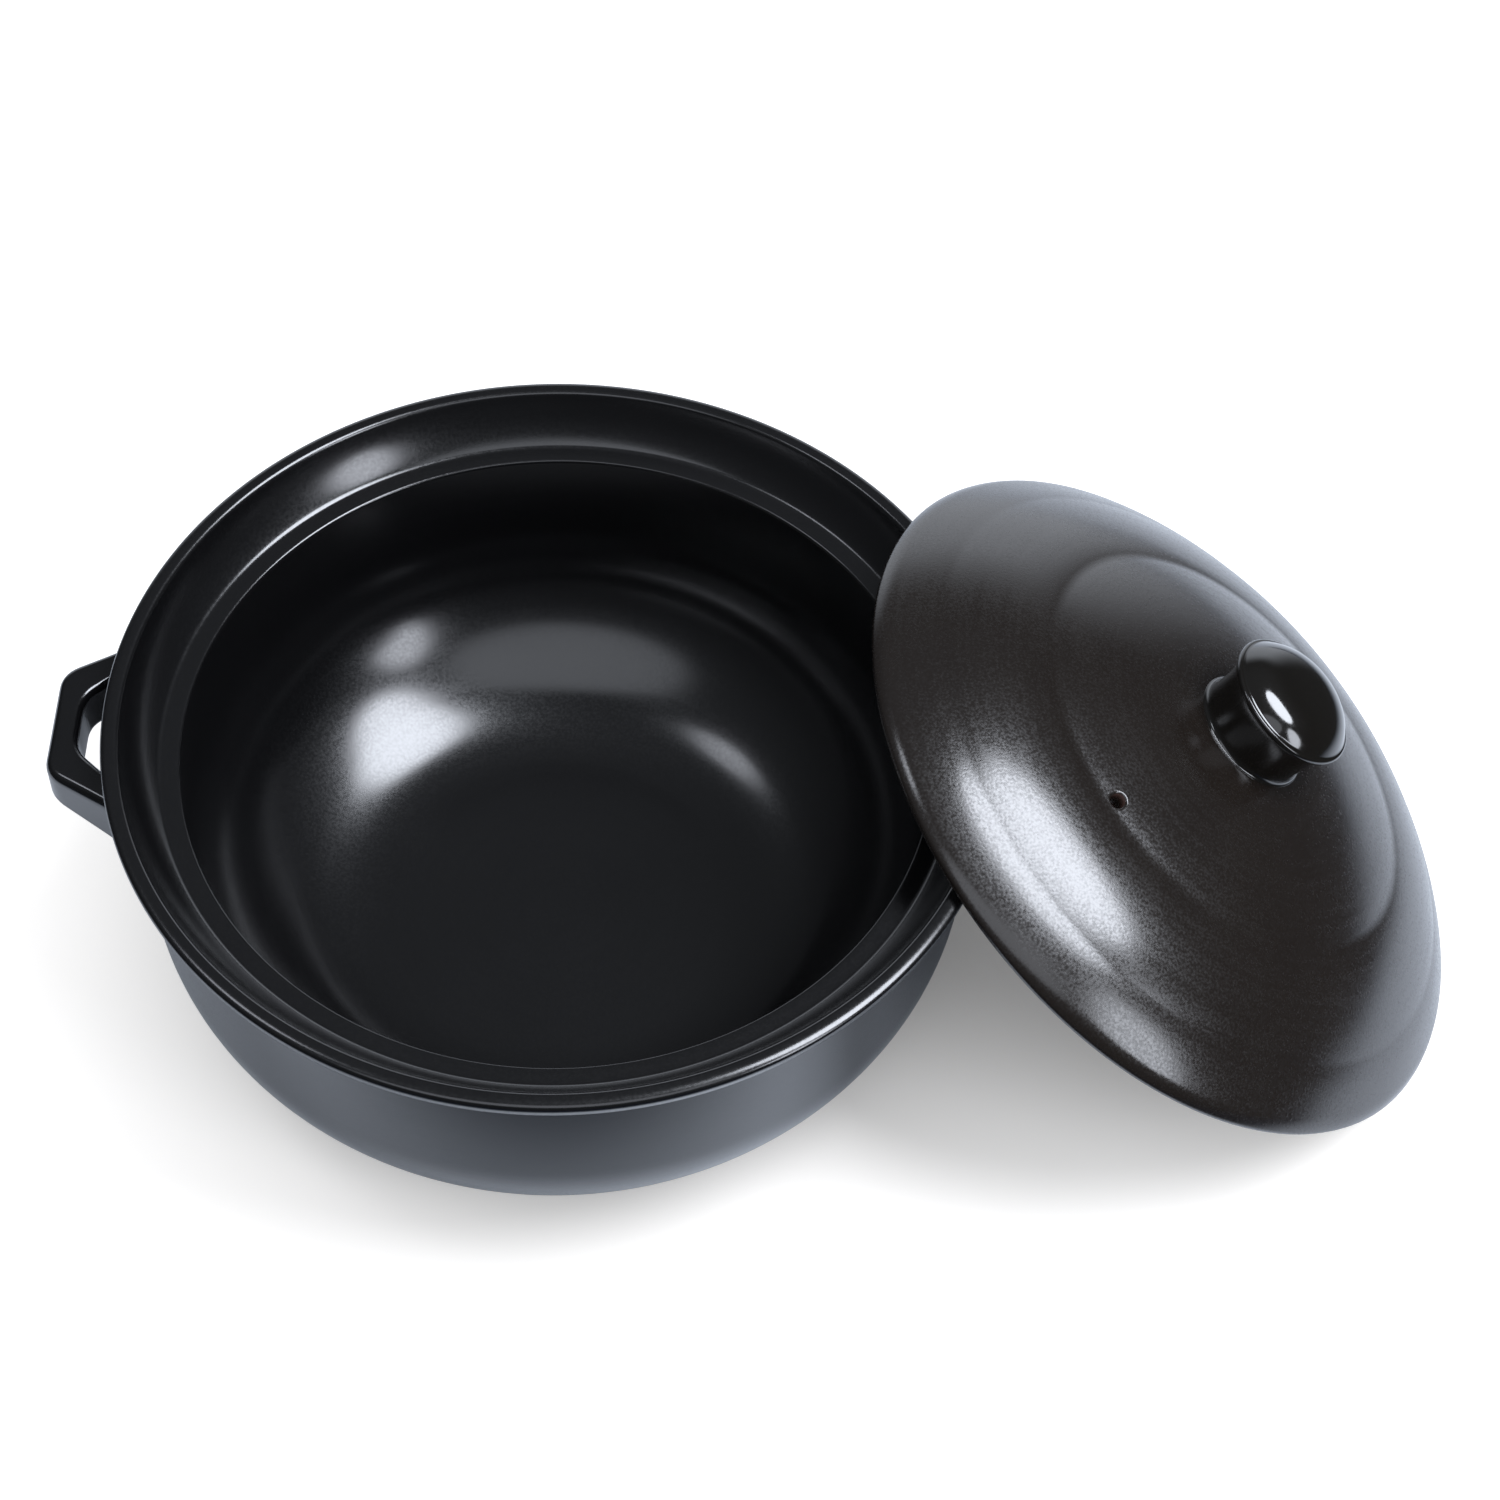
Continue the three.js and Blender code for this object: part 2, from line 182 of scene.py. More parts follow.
def glaze(name, look):
    """A fired glaze over dark clay, or the bare clay itself where the attribute bare is 1.

    look holds two body colours that drift into each other, the roughness of its glossiest and dullest
    spots, and in millimetres the size of the drift, and the size and height of its grain, turning lines and
    slow waves."""
    material = bpy.data.materials.new(name)
    material.use_nodes = True
    tree = material.node_tree
    tree.nodes.clear()
    where = add(tree, "ShaderNodeTexCoord", {}, {}).outputs["Object"]
    wheel = add(tree, "ShaderNodeAttribute", {"attribute_name": "wheel"}, {}).outputs["Vector"]
    bare = add(tree, "ShaderNodeAttribute", {"attribute_name": "bare"}, {}).outputs["Fac"]
    grain_size, grain_height = look["grain"]
    line_size, line_height = look["lines"]
    wave_size, wave_height = look["waves"]
    drift = add(tree, "ShaderNodeTexNoise", {},
                {"Vector": where, "Scale": 1000 / look["drift"], "Detail": 4.0})
    grain = add(tree, "ShaderNodeTexNoise", {}, {"Vector": where, "Scale": 1000 / grain_size, "Detail": 0.0})
    wave = add(tree, "ShaderNodeTexNoise", {}, {"Vector": where, "Scale": 1000 / wave_size, "Detail": 1.0})
    stretched = add(tree, "ShaderNodeMapping", {},
                    {"Vector": wheel, "Scale": (1000 / line_size, LINE_STRETCH, LINE_STRETCH)})
    lines = add(tree, "ShaderNodeTexNoise", {}, {"Vector": stretched.outputs[0], "Scale": 1.0, "Detail": 4.0})
    body = add(tree, "ShaderNodeMix", {"data_type": "RGBA"},
               {0: drift.outputs[0], 6: linear(look["colours"][0]), 7: linear(look["colours"][1])})
    clay = add(tree, "ShaderNodeMix", {"data_type": "RGBA"}, {0: bare, 6: body.outputs[2], 7: linear(CLAY)})
    uneven = add(tree, "ShaderNodeMath", {"operation": "ADD"}, {0: drift.outputs[0], 1: lines.outputs[0]})
    speckled = add(tree, "ShaderNodeMath", {"operation": "MULTIPLY_ADD"},
                   {0: grain.outputs[0], 1: SPECKLE, 2: uneven.outputs[0]})
    gloss = add(tree, "ShaderNodeMapRange", {}, {
        "Value": speckled.outputs[0], "From Min": GLOSS_SPAN[0], "From Max": GLOSS_SPAN[1],
        "To Min": look["roughness"][0], "To Max": look["roughness"][1]})
    dull = add(tree, "ShaderNodeMix", {}, {0: bare, 2: gloss.outputs[0], 3: CLAY_ROUGHNESS})
    wavy = add(tree, "ShaderNodeBump", {}, {"Height": wave.outputs[0], "Distance": wave_height / 1000})
    lined = add(tree, "ShaderNodeBump", {}, {"Height": lines.outputs[0], "Distance": line_height / 1000,
                                             "Normal": wavy.outputs[0]})
    grained = add(tree, "ShaderNodeBump", {}, {"Height": grain.outputs[0], "Distance": grain_height / 1000,
                                               "Normal": lined.outputs[0]})
    shader = add(tree, "ShaderNodeBsdfPrincipled", {}, {
        "Base Color": clay.outputs[2], "Roughness": dull.outputs[0], "IOR": GLAZE_IOR,
        "Normal": grained.outputs[0]})
    add(tree, "ShaderNodeOutputMaterial", {}, {"Surface": shader.outputs[0]})
    return material


slope = np.radians(BASE_ANGLE)
belly_corners = np.array([
    (BASE_RADIUS, 0),
    (BASE_RADIUS + BELLY_BASE_PULL * np.cos(slope), BELLY_BASE_PULL * np.sin(slope)),
    (WALL_RADIUS, BELLY_HEIGHT - BELLY_WALL_PULL),
    (WALL_RADIUS, BELLY_HEIGHT),
])
belly = bezier(belly_corners, 40)
heading = np.gradient(belly, axis=0)
heading /= np.linalg.norm(heading, axis=1)[:, None]
inner_belly = belly[::-1] + WALL * np.stack([-heading[::-1, 1], heading[::-1, 0]], 1)
inner_belly = inner_belly[inner_belly[:, 1] > FLOOR + 0.5]
flare_length = np.hypot(FLARE_RUN, SEAT_DEPTH)
flare = bezier([
    (LIP_RADIUS, POT_HEIGHT),
    ((LIP_RADIUS + SEAT_RADIUS) / 2 + FLARE_HOLLOW * SEAT_DEPTH / flare_length,
     (POT_HEIGHT + SEAT_HEIGHT) / 2 - FLARE_HOLLOW * FLARE_RUN / flare_length),
    (SEAT_RADIUS, SEAT_HEIGHT),
], 10)
cove = bezier([(WALL_RADIUS, COVE_BOTTOM), (WALL_RADIUS, FLANGE_BOTTOM),
               (WALL_RADIUS + RIM_COVE_RUN, FLANGE_BOTTOM)], 10)
lip = bezier([(RIM_RADIUS, POT_HEIGHT - RIM_ROUND[1]), (RIM_RADIUS, POT_HEIGHT),
              (RIM_RADIUS - RIM_ROUND[0], POT_HEIGHT)], 12)
pot_line = np.concatenate([
    [(0, 0)], belly, cove, [(RIM_RADIUS - RIM_UNDERCUT, FLANGE_BOTTOM)], lip, flare,
    [(MOUTH_RADIUS, SEAT_HEIGHT)], inner_belly, [(inner_belly[-1, 0] - 2, FLOOR), (0, FLOOR)],
])
rim_row = 1 + len(belly) + len(cove)
flare_row = rim_row + 1 + len(lip)
mouth_row = flare_row + len(flare)
floor_row = len(pot_line) - 2
pot_profile = rounded(pot_line, {
    1: 2.5, rim_row: 0.8, rim_row + 1: 0.7, flare_row: 1.2, mouth_row - 1: 1.1, mouth_row: 1.2, floor_row: 14,
}, POT_SPACING)
pot_points, pot_faces = closed_shell(turned(pot_profile, POT_COLUMNS))
pot_body = piece("pot_body_glazed", pot_points, pot_faces, glaze("Satin black glaze", POT_GLAZE),
                 {"wheel": wheel_coordinates(pot_profile, pot_points),
                  "bare": (pot_points[:, 2] < BARE_HEIGHT) * 1.0})
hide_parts("pot_body")
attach(pot_body, "pot")

# Handles: two loops pressed in clay, a bar on two spread legs with a gap for the fingers, luted to the wall
# just below the rim and glazed with the pot. Their tops are level and their undersides rise towards the
# bar.
HANDLE_REACH = 24.0  # past the wall
HANDLE_LENGTH = 37.4  # outer edge of the bar, between its corners
HANDLE_SPREAD = 30.0  # angle of each leg's outer side
HANDLE_CORNER = 5.5
HANDLE_BAR = 8.2  # width of the bar, seen from above
GAP_LENGTH = 18.0  # the same three for the finger gap
GAP_SPREAD = 42.0
GAP_CORNER = 5.0
HANDLE_TIP = 14.0  # heights at the bar's outer edge and at the wall
HANDLE_ROOT = 20.5
HANDLE_ROUND = 2.6
HANDLE_DROP = 1.5  # top of the handle below the rim's cove
HANDLE_FILLET = 2.2  # clay smoothed round the joint with the wall
HANDLE_SINK = 0.7  # how far the legs run into the wall
HANDLE_SPACING = 2.0  # of the points along the plan, before they are evened out
HANDLE_ROWS = 151
HANDLE_ROUND_STEPS = 8  # points round each of the four edges
# The pot's black glaze, which ran thicker and shinier over the small bars: sharp thin lines on every edge,
# broken a little where the pressed clay underneath is uneven.
HANDLE_GLAZE = {"colours": ("#0b0b0c", "#0f0f10"), "roughness": (0.12, 0.18), "drift": 25.0,
                "grain": (0.9, 0.002), "lines": (3.0, 0.0), "waves": (18.0, 0.12)}


def handle_side(bar, length, spread, corner, steps):
    """One side of the handle's plan: a leg out from the wall, the bar, and the other leg back, with the
    corners softened. Thirds of the steps run along each of the three, so two sides keep their corners in
    line."""
    half, slant = length / 2, np.array([np.cos(np.radians(spread)), -np.sin(np.radians(spread))])
    tip = np.array([bar, half])
    root = WALL_RADIUS - HANDLE_SINK
    reach = tip @ slant - np.sqrt((tip @ slant) ** 2 - tip @ tip + root**2)
    leg = tip - slant * reach
    line = rounded([leg * (1, -1), tip * (1, -1), tip, leg], {1: corner, 2: corner}, HANDLE_SPACING)
    along = np.concatenate([[0], np.cumsum(np.hypot(*np.diff(line, axis=0).T))])
    bend = along[[np.abs(line - tip * (1, -1)).sum(1).argmin(), np.abs(line - tip).sum(1).argmin()]]
    place = np.interp(np.linspace(0, 3, steps), range(4), [0, bend[0], bend[1], along[-1]])
    return np.stack([np.interp(place, along, line[:, k]) for k in (0, 1)], 1), place


def loop_handle(steps):
    """A rounded oblong carried along the handle: row t spans from the inner side to the outer side of the
    plan. Its height grows towards the wall by the taper, and near the wall it swells by a quarter-circle
    fillet."""
    tip = WALL_RADIUS + HANDLE_REACH
    outer, place = handle_side(tip, HANDLE_LENGTH, HANDLE_SPREAD, HANDLE_CORNER, steps)
    inner, _ = handle_side(tip - HANDLE_BAR, GAP_LENGTH, GAP_SPREAD, GAP_CORNER, steps)
    middle, across = (outer + inner) / 2, outer - inner
    half = np.linalg.norm(across, axis=1) / 2
    across /= 2 * half[:, None]
    near = np.minimum(place, place[-1] - place) - HANDLE_SINK
    swell = np.clip(HANDLE_FILLET - near, 0, HANDLE_FILLET)
    swell = HANDLE_FILLET - np.sqrt(HANDLE_FILLET**2 - swell**2)
    n = HANDLE_ROUND_STEPS
    turn = np.radians(np.linspace(0, 90, n)[None] + np.array([[0], [90], [180], [270]])).ravel()
    sign_a, sign_b = np.repeat([1, -1, -1, 1], n), np.repeat([1, 1, -1, -1], n)
    a = (half + swell - HANDLE_ROUND)[:, None] * sign_a + HANDLE_ROUND * np.cos(turn)
    b = (HANDLE_TIP / 2 - HANDLE_ROUND + swell)[:, None] * sign_b + HANDLE_ROUND * np.sin(turn)
    plan = middle[:, None] + a[..., None] * across[:, None]
    taper = 1 + (HANDLE_ROOT / HANDLE_TIP - 1) / HANDLE_REACH * (tip - plan[..., 0])
    z = COVE_BOTTOM - HANDLE_DROP + (b - HANDLE_TIP / 2) * taper
    grid = np.concatenate([plan, z[..., None]], -1)
    caps = [g.mean(0)[None].repeat(len(turn), 0)[None] for g in (grid[0], grid[-1])]
    return np.concatenate([caps[0], grid, caps[1]])


handle_glaze = glaze("Gloss black glaze", HANDLE_GLAZE)
handle_grid = loop_handle(HANDLE_ROWS)
for side, turn in (("right", 1), ("left", -1)):
    points, faces = closed_shell(handle_grid * (turn, turn, 1))
    handle = piece("handle_" + side + "_glazed", points, faces, handle_glaze, {})
    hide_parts("handle_" + side)
    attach(handle, "pot")

# Lid: a thin dome of the same clay in three soft steps with a round edge, thrown, turned and sprayed with a
# drier glaze that keeps a fine grain and turning lines. A steam vent was drilled before firing, and its
# glazed lip shows some red clay. The lid is off: its lower edge stands on the table and it leans on the
# pot's rim.
LID_CLEARANCE = 1.6  # between the lid's edge and the pot's flare when the lid is on
LID_EDGE = 5.6  # height of the round edge
LID_FOOT = 4.4  # width of the ring that rests on the seat
LID_EDGE_TURN = 45.0  # how far round the edge's curve runs above its widest place
LID_THICKNESS = 6.5  # at the crown
OUTER_TERRACE = 15.4  # widths and rises of the steps, from the edge in, and the share of a rise at mid-step
OUTER_RISE = 10.2
OUTER_BEND = 0.6
MIDDLE_TERRACE = 31.0
MIDDLE_RISE = 13.8
MIDDLE_BEND = 0.75
INNER_RISE = 9.8
INNER_BEND = 0.88
HOLLOW_CORNER = 65.0  # radius where the underside's two tangents meet
OUTER_GROOVE = (0.22, 4.5)  # depth and width of the ring pressed in at each step
INNER_GROOVE = (0.55, 6.0)
VENT_RADIUS = 2.1
VENT_LIP = 1.0  # rounding of the vent's edges by the glaze
VENT_INSET = 3.9  # vent inside the inner ring
VENT_TURN = 217.0  # its bearing about the lid's axis, from the lid's lowest place
VENT_REACH = 4  # cells from the vent's middle to each side of the window cut for it
VENT_STEPS = 6
VENT_BARE = (0, 0, 0, 0, 0, 0, 0, 0, 0.3, 0.7)  # share of bare clay from the window in over the lip
BORE_BARE = (0.2, 0.0, 0.0, 0.2)  # and down the bore
KNOB_FOOT_RADIUS = 19.5
LID_SPACING = 4.0
LID_COLUMNS = 360
# Satin warm black glaze, sprayed thin so that a little brown of the clay comes through and the grains of
# the spray stand up: the eye sees one broad highlight with a stippled edge, and faint rings from the
# turning tool.
LID_GLAZE = {"colours": ("#1a1512", "#1e1915"), "roughness": (0.16, 0.28), "drift": 30.0,
             "grain": (0.75, 0.011), "lines": (2.5, 0.012), "waves": (40.0, 0.1)}
LID_ORIGIN = np.array([187.551, 10.486, 62.940])  # middle of the leaning lid's foot ring
LID_AXIS = np.array(frame["joints"][0]["axis"])
LID_RADIUS = SEAT_RADIUS - LID_CLEARANCE
OUTER_RING = LID_RADIUS - OUTER_TERRACE
INNER_RING = OUTER_RING - MIDDLE_TERRACE
OUTER_RING_HEIGHT = LID_EDGE + OUTER_RISE
INNER_RING_HEIGHT = OUTER_RING_HEIGHT + MIDDLE_RISE
CROWN_HEIGHT = INNER_RING_HEIGHT + INNER_RISE


def leaning(points):
    """Points of the lid's own frame set where the lid leans: x runs to its lowest place and z up the dome."""
    z = LID_AXIS / np.linalg.norm(LID_AXIS)
    x = np.array([z[0], z[1], 0])
    x = x / np.linalg.norm(x) * z[2] - np.array([0, 0, np.linalg.norm(x)])
    return points @ np.stack([x, np.cross(z, x), z]) + LID_ORIGIN


def step_bend(start, end, share):
    """The middle corner of a step's curve: halfway across it, at that share of its rise."""
    return ((start[0] + end[0]) / 2, start[1] + (end[1] - start[1]) * share)


def grooved(line, ring, depth, width):
    """The line pressed in round a ring: it sinks by depth times exp(-distance / width)."""
    sink = depth * np.exp(-np.abs(line[:, 0] - ring) / width)
    return line - np.stack([0 * sink, sink], 1)


edge_turn = np.radians(np.linspace(-90, LID_EDGE_TURN, 14))
lid_edge = np.stack([LID_RADIUS + LID_EDGE / 2 * (np.cos(edge_turn) - 1),
                     LID_EDGE / 2 * (1 + np.sin(edge_turn))], 1)
outer_ring = (OUTER_RING, OUTER_RING_HEIGHT)
inner_ring = (INNER_RING, INNER_RING_HEIGHT)
crown = (KNOB_FOOT_RADIUS, CROWN_HEIGHT)
hollow_top = CROWN_HEIGHT - LID_THICKNESS
hollow = bezier([(0, hollow_top), (HOLLOW_CORNER, hollow_top), (LID_RADIUS - LID_FOOT, 0)], 90)
outer_step = bezier([lid_edge[-1], step_bend(lid_edge[-1], outer_ring, OUTER_BEND), outer_ring], 12)
middle_step = bezier([outer_ring, step_bend(outer_ring, inner_ring, MIDDLE_BEND), inner_ring], 24)
inner_step = bezier([inner_ring, step_bend(inner_ring, crown, INNER_BEND), crown], 42)
dome = np.concatenate([outer_step[1:], middle_step[1:], inner_step[1:], [(0, CROWN_HEIGHT)]])
dome = grooved(grooved(dome, OUTER_RING, *OUTER_GROOVE), INNER_RING, *INNER_GROOVE)
lid_line = np.concatenate([hollow, lid_edge, dome])
edge_row = len(hollow)
step_row = edge_row + len(lid_edge) - 1
outer_row = step_row + len(outer_step) - 1
inner_row = outer_row + len(middle_step) - 1
lid_profile = rounded(lid_line, {edge_row - 1: 1.2, step_row: 2.5, outer_row: 1.5, inner_row: 1.8},
                      LID_SPACING)
edge_place = int(lid_profile[:, 0].argmax())


def vented(grid, dome_row, hollow_row, column, centre):
    """The lid's closed grid with a drilled hole: a window of cells on the dome and one on the hollow give
    way to rings that run from the dome's window in to the hole, over its rounded lip, down its bore, over
    the lower lip and out to the hollow's window. Ring k is a weighted mean of the rings at either end of
    its stretch, or on a lip a quarter circle. Also returns each point's share of bare clay."""
    points, (quads, first, last) = closed_shell(grid)
    rows, cols = grid.shape[:2]
    n = VENT_REACH
    span, there = np.arange(-n, n), np.arange(n, -n, -1)
    j = column + np.concatenate([span, np.full(2 * n, n), there, np.full(2 * n, -n)])
    i = np.concatenate([np.full(2 * n, -n), span, np.full(2 * n, n), there])
    window = 1 + (dome_row + i - 1) * cols + j
    below = 1 + (hollow_row - i - 1) * cols + j
    cell = np.arange((rows - 3) * cols).reshape(rows - 3, cols)
    cut = [cell[r - 1 - n:r - 1 + n, column - n:column + n].ravel() for r in (dome_row, hollow_row)]
    quads = np.delete(quads, np.concatenate(cut), axis=0)
    bearing = np.arctan2(*(points[window, :2] - centre).T[::-1])
    ray = np.stack([np.cos(bearing), np.sin(bearing)], 1)
    stretches, bare = [], []
    for corner, profile, up in ((window, lid_profile[edge_place:][::-1], 1),
                                (below, lid_profile[:edge_place], -1)):
        lip = centre + (VENT_RADIUS + VENT_LIP) * ray
        share = np.linspace(0, 1, VENT_STEPS)[1:, None, None]
        flat = (1 - share) * points[corner, :2] + share * lip
        height = np.interp(np.linalg.norm(flat, axis=-1), profile[:, 0], profile[:, 1])
        turn = np.radians(np.linspace(0, 90, VENT_STEPS)[1:, None, None])
        bend = centre + (VENT_RADIUS + VENT_LIP * (1 - np.sin(turn))) * ray
        drop = height[-1] - up * VENT_LIP * (1 - np.cos(turn[..., 0]))
        part = np.concatenate([np.concatenate([flat, height[..., None]], -1),
                               np.concatenate([bend, drop[..., None]], -1)])
        stretches.append(part if up > 0 else part[::-1])
        bare.append(np.array(VENT_BARE)[::up])
    share = np.linspace(0, 1, VENT_STEPS)[1:-1, None, None]
    bore = (1 - share) * stretches[0][-1] + share * stretches[1][0]
    rings = np.concatenate([stretches[0], bore, stretches[1]])
    number = len(points) + np.arange(rings.shape[0] * len(window)).reshape(rings.shape[:2])
    ladder = np.concatenate([window[None], number, below[None]])
    around = np.roll(ladder, -1, axis=1)
    sleeve = np.stack([ladder[:-1], around[:-1], around[1:], ladder[1:]], -1).reshape(-1, 4)
    shown = np.concatenate([bare[0], BORE_BARE, bare[1]])[:, None] + np.zeros(len(window))
    points = np.concatenate([points, rings.reshape(-1, 3)])
    return points, [quads, first, last, sleeve], np.concatenate([np.zeros(number[0, 0]), shown.ravel()])


vent_ring = INNER_RING - VENT_INSET
vent_centre = vent_ring * np.array([np.cos(np.radians(VENT_TURN)), np.sin(np.radians(VENT_TURN))])
to_vent = np.abs(lid_profile[:, 0] - vent_ring)
dome_row = edge_place + int(to_vent[edge_place:].argmin())
hollow_row = int(to_vent[:edge_place].argmin())
lid_points, lid_faces, lid_bare = vented(
    turned(lid_profile, LID_COLUMNS), dome_row, hollow_row, round(VENT_TURN / 360 * LID_COLUMNS), vent_centre)
lid_shell = piece("lid_shell_glazed", leaning(lid_points), lid_faces,
                  glaze("Satin warm black glaze", LID_GLAZE),
                  {"wheel": wheel_coordinates(lid_profile, lid_points), "bare": lid_bare})
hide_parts("lid_shell")
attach(lid_shell, "lid")

# Knob: a round grip turned in one piece and stuck to the crown with slip, which leaves a small fillet round
# its foot. A wide upright neck flares under a thin round lip, and the top is a low dome. It was dipped by
# itself.
KNOB_FOOT = 3.2  # height of the fillet
KNOB_FOOT_SKIRT = 0.1  # thickness of the fillet's feathered edge
KNOB_NECK_RADIUS = 18.2
KNOB_FLARE = 5.0  # how far below the lip the neck turns outward
KNOB_HEAD_RADIUS = 21.8
KNOB_LIP = 2.4
KNOB_HEIGHT = 25.1
KNOB_CROWN = 6.9  # rise of the dome above the lip
KNOB_DOME_ANGLE = 50.0  # slope of the dome where it leaves the lip
KNOB_DOME_PULL = 7.0  # how far the dome follows that slope, and how far out its top stays level
KNOB_TOP_PULL = 12.0
KNOB_LIFT = 0.35  # height of the knob's own zero above the crown
KNOB_SPACING = 2.0
KNOB_COLUMNS = 160
# Thick gloss black glaze, pooled and glassy: the eye sees crisp bright windows on a deep black.
KNOB_GLAZE = {"colours": ("#100e0b", "#13110e"), "roughness": (0.09, 0.13), "drift": 20.0,
              "grain": (0.9, 0.0006), "lines": (4.0, 0.004), "waves": (14.0, 0.08)}

head_top = KNOB_HEIGHT - KNOB_CROWN
head_bottom = head_top - KNOB_LIP
head_middle = head_top - KNOB_LIP / 2
lip_radius = KNOB_HEAD_RADIUS - KNOB_LIP / 2
slope = np.radians(KNOB_DOME_ANGLE)
shoulder = (lip_radius - KNOB_DOME_PULL * np.cos(slope), head_top + KNOB_DOME_PULL * np.sin(slope))
knob_line = np.concatenate([
    [(0, -KNOB_LIFT - KNOB_FOOT_SKIRT), (KNOB_FOOT_RADIUS, -KNOB_LIFT - KNOB_FOOT_SKIRT)],
    bezier([(KNOB_FOOT_RADIUS, -KNOB_LIFT), (KNOB_NECK_RADIUS, -KNOB_LIFT + KNOB_FOOT_SKIRT),
            (KNOB_NECK_RADIUS, KNOB_FOOT)], 16),
    bezier([(KNOB_NECK_RADIUS, KNOB_FOOT), (KNOB_NECK_RADIUS, head_bottom - KNOB_FLARE),
            (lip_radius, head_bottom)], 20)[1:],
    bezier([(lip_radius, head_bottom), (KNOB_HEAD_RADIUS, head_bottom),
            (KNOB_HEAD_RADIUS, head_middle)], 8)[1:],
    bezier([(KNOB_HEAD_RADIUS, head_middle), (KNOB_HEAD_RADIUS, head_top), (lip_radius, head_top)], 8)[1:],
    bezier([(lip_radius, head_top), shoulder, (KNOB_TOP_PULL, KNOB_HEIGHT), (0, KNOB_HEIGHT)], 30)[1:],
])
knob_profile = rounded(knob_line, {}, KNOB_SPACING) + (0, CROWN_HEIGHT + KNOB_LIFT)
knob_points, knob_faces = closed_shell(turned(knob_profile, KNOB_COLUMNS))
lid_knob = piece("lid_knob_glazed", leaning(knob_points), knob_faces,
                 glaze("Thick gloss black glaze", KNOB_GLAZE),
                 {"wheel": wheel_coordinates(knob_profile, knob_points)})
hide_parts("lid_knob")
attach(lid_knob, "lid")

# Table: a plain white board that the pot stands on. The camera sees it paper white where it lies open, and
# shaded where the pot and the lid stand over it. Mirrored in the glaze it has a painted faint blue, and
# painted shade darkens it in front and far to the right. Its places are in metres.
BOARD = ((-0.75, -0.42), (0.66, 1.1))
BOARD_LEVEL = -1e-4
BOARD_COLOUR = "#eee9e1"
# The board's colour in the glaze's mirror is painted: a faint blue, with painted shade in front and far to
# the right.
BOARD_PAINTED_REFLECTION = "#f4f9ff"
BOARD_PAINTED_SHADE = "#222c39"
BOARD_PAINTED_SHADE_FRONT = (-0.205, -0.12)  # along Y, from painted shade to light in the mirror
BOARD_PAINTED_SHADE_RIGHT = (0.35, 0.65)  # along X, from light to painted shade
BOARD_PAINTED_SHADE_RIGHT_LEFT_OVER = 0.1
BOARD_OPEN = 0.3  # how far up the board looks for what shades it
BOARD_LIFT = 0.86  # white added for the camera where nothing does

(x0, y0), (x1, y1) = BOARD
corners = [(x, y, BOARD_LEVEL) for x, y in ((x0, y0), (x1, y0), (x1, y1), (x0, y1))]
board = bpy.data.meshes.new("table")
board.from_pydata(corners, [], [(0, 1, 2, 3)])
paper = bpy.data.materials.new("Matt white board, painted shade in its reflection")
paper.use_nodes = True
tree = paper.node_tree
tree.nodes.clear()
rays = add(tree, "ShaderNodeLightPath", {}, {})
where = add(tree, "ShaderNodeTexCoord", {}, {}).outputs["Object"]
split = add(tree, "ShaderNodeSeparateXYZ", {}, {0: where})
# Painted shade for glossy rays only: the mirrored colour goes dark towards the front and far to the right.
front = add(tree, "ShaderNodeMapRange", {"interpolation_type": "SMOOTHSTEP"},
            {"Value": split.outputs["Y"], "From Min": BOARD_PAINTED_SHADE_FRONT[0], "From Max": BOARD_PAINTED_SHADE_FRONT[1]})
right = add(tree, "ShaderNodeMapRange", {"interpolation_type": "SMOOTHSTEP"},
            {"Value": split.outputs["X"], "From Min": BOARD_PAINTED_SHADE_RIGHT[0], "From Max": BOARD_PAINTED_SHADE_RIGHT[1],
             "To Min": 1.0, "To Max": BOARD_PAINTED_SHADE_RIGHT_LEFT_OVER})
near = add(tree, "ShaderNodeMath", {"operation": "MULTIPLY"}, {0: front.outputs[0], 1: right.outputs[0]})
painted_reflection = add(tree, "ShaderNodeMix", {"data_type": "RGBA"},
               {0: near.outputs[0], 6: linear(BOARD_PAINTED_SHADE), 7: linear(BOARD_PAINTED_REFLECTION)})
tint = add(tree, "ShaderNodeMix", {"data_type": "RGBA"},
           {0: rays.outputs["Is Glossy Ray"], 6: linear(BOARD_COLOUR), 7: painted_reflection.outputs[2]})
matt = add(tree, "ShaderNodeBsdfDiffuse", {}, {"Color": tint.outputs[2]})
above = add(tree, "ShaderNodeAmbientOcclusion", {}, {"Distance": BOARD_OPEN})
bright = add(tree, "ShaderNodeMapRange", {}, {"Value": above.outputs["AO"], "To Max": BOARD_LIFT})
lift = add(tree, "ShaderNodeMath", {"operation": "MULTIPLY"},
           {0: rays.outputs["Is Camera Ray"], 1: bright.outputs[0]})
glow = add(tree, "ShaderNodeEmission", {}, {"Color": linear("#ffffff"), "Strength": lift.outputs[0]})
both = add(tree, "ShaderNodeAddShader", {}, {0: matt.outputs[0], 1: glow.outputs[0]})
add(tree, "ShaderNodeOutputMaterial", {}, {"Surface": both.outputs[0]})
paper.cycles.emission_sampling = "NONE"
board.materials.append(paper)
table = bpy.data.objects.new("table", board)
bpy.context.scene.collection.objects.link(table)

